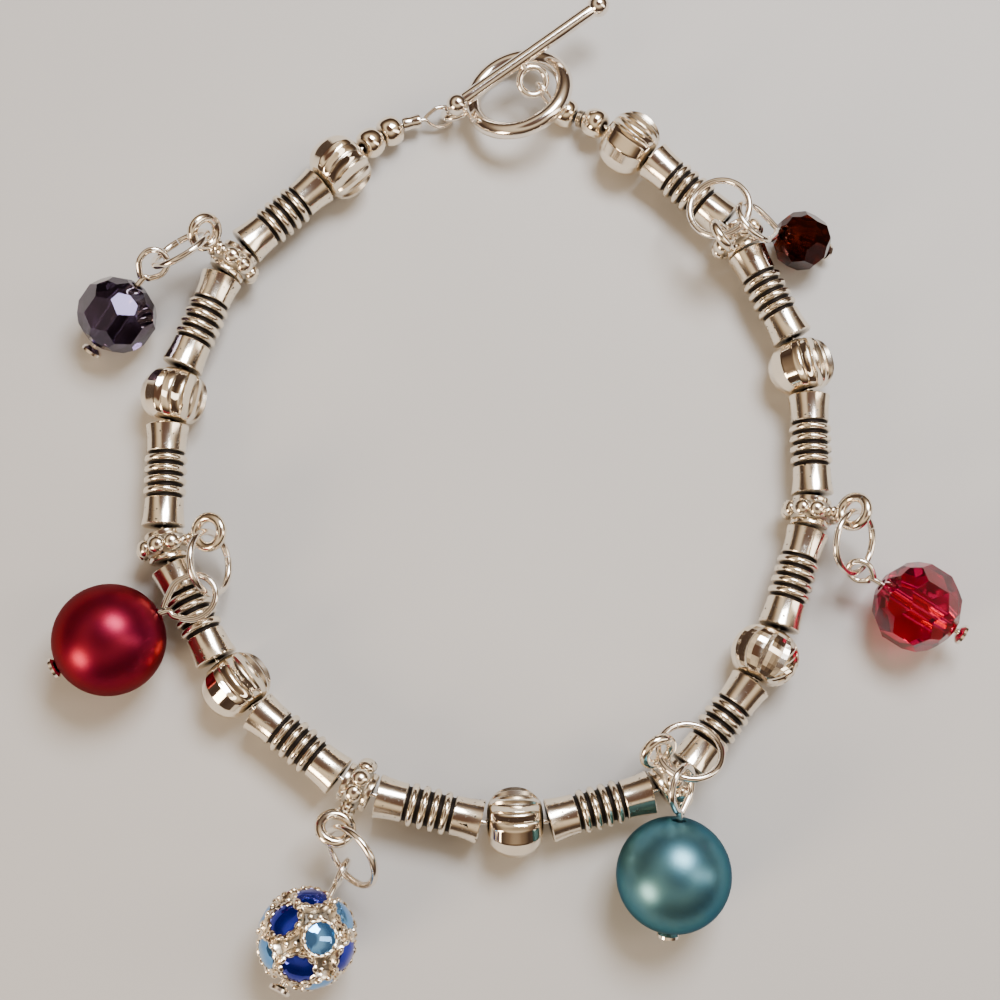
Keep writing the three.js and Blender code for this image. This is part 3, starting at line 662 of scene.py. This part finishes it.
# Jump rings, each with the fine seam where it was closed
jumpRing = {"wire": 0.66, "seam": 2.5, "seamAt": 110}
ringRadius = (link["jumpRing"] - jumpRing["wire"]) / 2
ringMaster = sweep("ring_master", ringPath(ringRadius, 72, jumpRing["seam"]), jumpRing["wire"] / 2,
                   brightSilver)
ringCentres = {}
for k in range(1, 7):
    node = f"jump_ring_{k}"
    ringCentres[k], normal = circleOf(node, link["jumpRing"])
    loopCentre = places[f"bail_{k}"] @ Vector((0, 0, bailReach * mm))
    place = placeOf(ringCentres[k], ringCentres[k] - loopCentre, normal)
    keep(copyOf(ringMaster), node,
         place @ Matrix.Rotation(math.radians(jumpRing["seamAt"]), 4, "Z"))
bpy.data.objects.remove(ringMaster)
print("jump rings done")

# Charms: a bead on a head pin whose eye hooks the jump ring
headPin = {"wire": 0.62, "head": 1.0, "thickness": 0.45, "seat": 0.22, "sunk": 0.02, "hole": 0.61}
charms = {
    "dark_red_crystal": {"form": "crystal", "radius": 3.05, "look": darkRedGlass,
                         "slot": "dark_red_glass"},
    "red_crystal": {"form": "crystal", "radius": 4.45, "look": redGlass, "slot": "red_glass"},
    "teal_pearl": {"form": "pearl", "radius": 5.2, "look": tealPearl, "slot": "teal_pearl"},
    "rhinestone_ball": {"form": "ball", "radius": 4.5, "look": antiqueSilver,
                        "slot": "filigree_and_stones"},
    "red_pearl": {"form": "pearl", "radius": 5.15, "look": redPearl, "slot": "red_pearl"},
    "purple_crystal": {"form": "crystal", "radius": 3.95, "look": purpleGlass, "slot": "purple_glass"},
}


def pearlPiece(name, charm):
    # A coated bead: a near ball with a small rim at each end of its hole
    radius = charm["radius"]
    hole = headPin["hole"]
    start = math.asin((hole + 0.1) / radius)
    edge = math.cos(start) * radius
    outline = [(-edge + 0.25, hole, 1), (-edge + 0.06, hole + 0.02, 0.6)]
    for i in range(41):
        angle = start + (math.pi - 2 * start) * i / 40
        outline.append((-math.cos(angle) * radius, math.sin(angle) * radius, 0))
    outline += [(edge - 0.06, hole + 0.02, 0.6), (edge - 0.25, hole, 1)]
    return turned(name, outline, charm["look"], 72, 40)


# Facet rows of a cut crystal: latitude, distance as a share of the radius, and turn in facets
crystalCut = {"facets": 8, "rows": ((0, 0.868, 0), (36, 0.905, 0.5), (-36, 0.905, 0.5), (62, 0.9, 0),
                                    (-62, 0.9, 0), (90, 0.88, 0), (-90, 0.88, 0))}


def crystalPiece(name, charm):
    planes = []
    for latitude, distance, turn in crystalCut["rows"]:
        level = math.cos(math.radians(latitude))
        for i in range(1 if abs(latitude) == 90 else crystalCut["facets"]):
            around = 2 * math.pi * (i + turn) / crystalCut["facets"]
            height = math.sin(math.radians(latitude))
            way = Vector((height, math.cos(around) * level, math.sin(around) * level))
            planes.append((way.normalized(), distance * charm["radius"]))
    return faceted(name, planes, charm["look"], headPin["hole"])


# The rhinestone ball: rows of set stones (latitude, count, turn), and which of them are dark blue
ball = {"rows": ((-46, 5, 0.44), (0, 7, 0.08), (46, 5, 0.9)), "shellDepth": 0.75, "cup": 1.68,
        "stone": 1.42, "star": 0.68, "crown": 1.03, "table": 0.42, "under": 0.2, "set": 0.25,
        "facets": 8, "crownLean": 1.1, "starLean": 2.2,
        "prongs": 10, "prong": (0.24, 0.38, 0.27), "prongHeight": 0.34, "prongAt": 0.9,
        "grains": 260, "grain": 0.3, "grainRoom": 1.72, "capRadius": 1.0, "capWire": 0.5,
        "capSunk": 0.05, "darkest": 0.8, "darkTo": 0.16, "darkFade": 0.25,
        "darkBlue": ((0, 1), (0, 3), (1, 1), (1, 3), (1, 5), (2, 0), (2, 2))}


def settingParts(place, look):
    # A cup with a scalloped rim, and the stone in it: a table with facets round its crown
    cup = [(-0.6, 1.0, 0.8), (0.15, 1.0, 0), (0.4, 0.93, 0), (0.4, 0.84, 0.3), (0.15, 0.8, 1)]
    parts = [moved(turned("cup", [(along, share * ball["cup"], dark) for along, share, dark in cup],
                          antiqueSilver, 24, solid=True), place)]
    for j in range(ball["prongs"]):
        at = (ball["prongHeight"], 0, ball["cup"] * ball["prongAt"])
        prong = place @ turnedBy(360 * j / ball["prongs"]) @ Matrix.Translation(at)
        parts.append(lump("prong", prong, ball["prong"], antiqueSilver, 6, 8))
    out = Vector((1, 0, 0))
    planes = [(out, ball["table"]), (-out, ball["under"])]
    turn = 360 / ball["facets"]
    for j in range(ball["facets"]):
        side = turnedBy(turn * j) @ Vector((0, 1, 0))
        planes.append((side, ball["stone"]))
        planes.append(((side + out * ball["crownLean"]).normalized(), ball["crown"]))
        between = turnedBy(turn / 2) @ side
        planes.append(((between + out * ball["starLean"]).normalized(), ball["star"]))
    parts.append(moved(faceted("stone", planes, look), place @ Matrix.Translation((ball["set"], 0, 0))))
    return parts


def ballPiece(name, charm):
    inner = charm["radius"] - ball["shellDepth"]
    hole = headPin["hole"]
    start = math.asin(hole / inner)
    edge = math.cos(start) * inner
    outline = [(-edge + 0.3, hole * 0.98, 1)]
    for i in range(25):
        angle = start + (math.pi - 2 * start) * i / 24
        outline.append((-math.cos(angle) * inner, math.sin(angle) * inner, 0.75))
    outline.append((edge - 0.3, hole * 0.98, 1))
    parts = [turned(name, outline, antiqueSilver, 48)]
    settings = []
    for row, (latitude, count, turn) in enumerate(ball["rows"]):
        for i in range(count):
            slope = math.radians(90 - latitude)
            place = turnedBy(360 * (i + turn) / count) @ Matrix.Rotation(slope, 4, "Z") \
                @ Matrix.Translation((inner, 0, 0))
            settings.append(place.translation)
            look = darkBlueStone if (row, i) in ball["darkBlue"] else lightBlueStone
            parts += settingParts(place, look)
    # Filigree grains over the shell where no stone is set, and a ring round each end of the hole
    for i in range(ball["grains"]):
        along = inner * (1 - (2 * i + 1) / ball["grains"])
        out = math.sqrt(inner ** 2 - along ** 2)
        around = i * math.pi * (3 - math.sqrt(5))
        at = Vector((along, out * math.cos(around), out * math.sin(around)))
        nearest = min((at - other).length for other in settings)
        if out > ball["capRadius"] + ball["capWire"] and nearest > ball["grainRoom"]:
            sizes = (ball["grain"],) * 3
            parts.append(lump("grain", Matrix.Translation(at), sizes, antiqueSilver, 6, 8))
    facing = Matrix.Rotation(math.pi / 2, 4, "Y")
    for end in (-1, 1):
        at = Vector((end * (inner - ball["capSunk"]), 0, 0))
        ring = [facing @ point + at for point in ringPath(ball["capRadius"], 24)]
        parts.append(sweep("cap", ring, ball["capWire"] / 2, antiqueSilver, 8, closed=True))

    def inShell(along, radius, out):
        return np.minimum(ball["darkest"], (inner + ball["darkTo"] - out) / ball["darkFade"])

    return fused(name, parts, 30, inShell)


makers = {"crystal": crystalPiece, "pearl": pearlPiece, "ball": ballPiece}
for k, (name, charm) in enumerate(charms.items(), 1):
    place = turnedPlace(name, ringCentres[k])
    keep(makers[charm["form"]](name, charm), name, place)
    # The pin: a domed disc under the bead, a straight stretch through it and a bent eye above
    x = place.to_3x3() @ Vector((1, 0, 0))
    centre = place.translation
    throat = (charm["radius"] + throatGap) * mm
    eye = eyePath(pointsOf(f"head_pin_{k}"), centre + x * throat, x, headPin["wire"])
    path = smoothPath([(centre - x * throat) / mm, centre / mm] + eye, 6)
    wire = sweep("pin", path, headPin["wire"] / 2, brightSilver, 14)
    half = headPin["thickness"] / 2
    wide = headPin["head"]
    headOutline = [(-half, wide * 0.5, 0), (-half * 0.9, wide * 0.8, 0), (-half * 0.5, wide, 0),
                   (half * 0.7, wide, 0), (half, wide - 0.1, 0),
                   (half + headPin["seat"], wide * 0.55, 0.3)]
    disc = turned("head", headOutline, brightSilver, 32, solid=True)
    headPlace = place.copy()
    headPlace.translation = centre - x * (throat + (half - headPin["sunk"]) * mm)
    disc.data.transform(headPlace)
    keep(fused(f"pin_{k}", [wire, disc], 40), f"head_pin_{k}")
    print(name, "done")

# The clasp: a round ring and a bar with a ball at each end, both with a soldered loop
clasp = {"ringWire": 1.7, "loopWire": 0.8, "rod": 1.35, "ball": 2.2, "barLoopWire": 0.75, "neck": 0.42,
         "length": 19.8}


def ringAt(name, centre, normal, outer, wire):
    piece = sweep(name, ringPath((outer - wire) / 2, 72), wire / 2, brightSilver, 24, closed=True)
    piece.data.transform(placeOf(centre, normal.orthogonal(), normal))
    return piece


keep(fused("clasp_ring", [
    ringAt("clasp_ring", *circleOf("toggle_ring", link["toggleRing"]), link["toggleRing"],
           clasp["ringWire"]),
    ringAt("ring_loop", *circleOf("toggle_ring", link["ringLoop"]), link["ringLoop"],
           clasp["loopWire"]),
]), "toggle_ring")

barPoints = pointsOf("toggle_bar")
spans = np.linalg.norm(barPoints[:, None] - barPoints[None], axis=2)
first, second = np.unravel_index(spans.argmax(), spans.shape)
barWay = Vector(barPoints[second] - barPoints[first]).normalized()
barMiddle = Vector(barPoints[first] + barPoints[second]) / 2
loopCentre, loopNormal = circleOf("toggle_bar", link["barLoop"])
half = clasp["length"] / 2
knob = clasp["ball"] / 2
rod = clasp["rod"] / 2
end = []
for angle in np.linspace(math.pi / 2 - 0.05, -math.acos(rod / knob), 14):
    end.append((half - knob + knob * math.sin(angle), knob * math.cos(angle), 0))
end.append((end[-1][0] - 0.25, rod * 1.04, 0.15))
end += [(half * share, rod * (0.97 + 0.1 * share), 0) for share in (0.7, 0.45, 0.2)]
barOutline = [(-along, radius, dark) for along, radius, dark in end] + end[::-1]
barRod = turned("clasp_bar", barOutline, brightSilver, 40, solid=True)
barRod.data.transform(placeOf(barMiddle, barWay, up))
foot = barMiddle + barWay * (loopCentre - barMiddle).dot(barWay)
toward = (loopCentre - foot).normalized()
loopRadius = (link["barLoop"] - clasp["barLoopWire"]) / 2
loopEdge = loopCentre - toward * loopRadius * mm
stem = sweep("bar_neck", [foot / mm, loopEdge / mm], clasp["neck"], brightSilver)
keep(fused("clasp_bar", [
    barRod, stem, ringAt("bar_loop", loopCentre, loopNormal, link["barLoop"], clasp["barLoopWire"]),
]), "toggle_bar")
print("clasp done")

# The stringing wire: a loop through the bar's loop, straight through every bead, a loop to the ring
thread = {"wire": 0.45, "loopReach": 4.2, "loopStart": 0.2, "tip": 0.5}
lengths = {"tube_bead": tubeBead["length"], "cut_bead": cutBead["length"],
           "small_bead": smallBead["length"], "bail": bail["length"],
           "crimp_tube": crimp["length"], "crimp_collar": collar["length"]}
threadPoints = pointsOf("stringing_wire")


def endOf(name, side):
    # A strand piece's end face, its middle
    kind = name if name in lengths else name.rsplit("_", 1)[0]
    return places[name] @ Vector((side * lengths[kind] / 2 * mm, 0, 0))


def threadEye(name, side):
    # The bent loop past the strand's first or last bead
    out = (endOf(name, side) - places[name].translation).normalized()
    throat = endOf(name, side) + out * mouthGap * mm
    far = np.linalg.norm(threadPoints - np.array(throat), axis=1)
    past = (threadPoints - np.array(throat)) @ np.array(out) > thread["loopStart"] * mm
    beyond = past & (far < thread["loopReach"] * mm)
    tip = threadPoints[beyond & (far > far[beyond].max() - thread["tip"] * mm)].mean(0)
    return eyePath(threadPoints[beyond], throat, Vector(tip) - throat, thread["wire"])


joints = [(endOf(a, 1) + endOf(b, -1)) / 2 / mm for a, b in zip(strandOrder, strandOrder[1:])]
threadPath = threadEye("small_bead_1", -1)[::-1] + joints + threadEye("crimp_tube", 1)
keep(sweep("thread", smoothPath(threadPath, 5), thread["wire"] / 2, brightSilver, 10), "stringing_wire")
print("stringing wire done")

# Pale table, soft warm lights and the camera
tableLook = {"side": 1.6, "light": (0.51, 0.49, 0.46, 1), "shade": (0.46, 0.44, 0.415, 1),
             "roughness": 0.75, "cloud": {"Scale": 30.0, "Detail": 4.0}}
bpy.ops.mesh.primitive_grid_add(x_subdivisions=8, y_subdivisions=8, size=tableLook["side"])
table = bpy.context.object
table.name = "table"
tableTop, tree, shader = newMaterial("pale_table")
here = addNode(tree, "ShaderNodeTexCoord").outputs["Object"]
cloud = addNode(tree, "ShaderNodeTexNoise", {"Vector": here, **tableLook["cloud"]})
tree.links.new(blended(tree, cloud.outputs["Fac"], tableLook["shade"], tableLook["light"]),
               shader.inputs["Base Color"])
shader.inputs["Roughness"].default_value = tableLook["roughness"]
table.data.materials.append(tableTop)

lights = {
    "window": {"at": (75, 135, 270), "size": (150, 110), "power": 1.6, "colour": (0.90, 0.93, 1.0)},
    "lamp": {"at": (-240, -190, 120), "size": (110, 110), "power": 0.9, "colour": (1.0, 0.80, 0.58)},
    "wall": {"at": (250, -40, 200), "size": (80, 260), "power": 0.3, "colour": (1.0, 0.90, 0.80)},
}
for name, lamp in lights.items():
    data = bpy.data.lights.new(name, "AREA")
    data.shape = "RECTANGLE"
    data.energy = lamp["power"]
    data.size, data.size_y = (side * mm for side in lamp["size"])
    data.color = lamp["colour"]
    light = bpy.data.objects.new(name, data)
    light.location = Vector(lamp["at"]) * mm
    light.rotation_euler = (-light.location).to_track_quat("-Z", "Y").to_euler()
    bpy.context.scene.collection.objects.link(light)

# A soft room by height, from below (0) to overhead (1): brown, cream, and brown again
room = {0.0: (0.10, 0.07, 0.055, 1), 0.32: (0.06, 0.036, 0.026, 1), 0.52: (0.24, 0.165, 0.11, 1),
        0.70: (0.88, 0.70, 0.49, 1), 0.86: (1.0, 0.83, 0.61, 1), 0.935: (0.13, 0.068, 0.045, 1)}
world = bpy.data.worlds.new("studio")
world.use_nodes = True
tree = world.node_tree
heading = addNode(tree, "ShaderNodeTexCoord").outputs["Generated"]
height = addNode(tree, "ShaderNodeSeparateXYZ", {0: heading}).outputs["Z"]
walls = addNode(tree, "ShaderNodeValToRGB", {"Fac": height})
for i, (at, colour) in enumerate(room.items()):
    stop = walls.color_ramp.elements[0] if i == 0 else walls.color_ramp.elements.new(at)
    stop.position, stop.color = at, colour
walls.color_ramp.elements.remove(walls.color_ramp.elements[-1])
tree.links.new(walls.outputs["Color"], tree.nodes["Background"].inputs["Color"])
bpy.context.scene.world = world

view = {"lens": 54, "at": (-6.29, -33.11, 143.76), "turn": (12, -2, 0)}
camera = bpy.data.cameras.new("camera")
camera.lens = view["lens"]
camera.sensor_width = 36
camera.clip_start = 0.001
cameraObject = bpy.data.objects.new("camera", camera)
cameraObject.location = Vector(view["at"]) * mm
cameraObject.rotation_euler = [math.radians(turn) for turn in view["turn"]]
bpy.context.scene.collection.objects.link(cameraObject)
bpy.context.scene.camera = cameraObject
print("table, lights and camera done")
